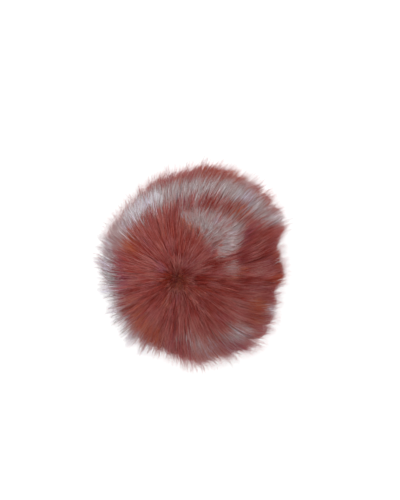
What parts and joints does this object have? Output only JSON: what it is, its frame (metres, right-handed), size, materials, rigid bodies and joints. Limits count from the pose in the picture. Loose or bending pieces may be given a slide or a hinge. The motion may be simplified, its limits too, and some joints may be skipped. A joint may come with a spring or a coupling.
{
  "type": "pom pom",
  "caption": "Long-haired fur pom pom, dusty red with pale grey-pink bands, its hair combed outward from an off-centre crown, lying on a small flat spot.",
  "frame": {"origin": "on the surface that the pom pom lies on, under the middle of the fluff", "axes": "+Z up, away from the surface, with the crown on top leaning towards -X and -Y; +X is right and +Y is up in the picture, which looks straight down"},
  "size_m": [0.121, 0.134, 0.102],
  "materials": {
    "fur": "dull dusty red fur with pale grey-pink patches"
  },
  "bodies": {
    "root": {"fur_ball": "fur"}
  },
  "joints": []
}
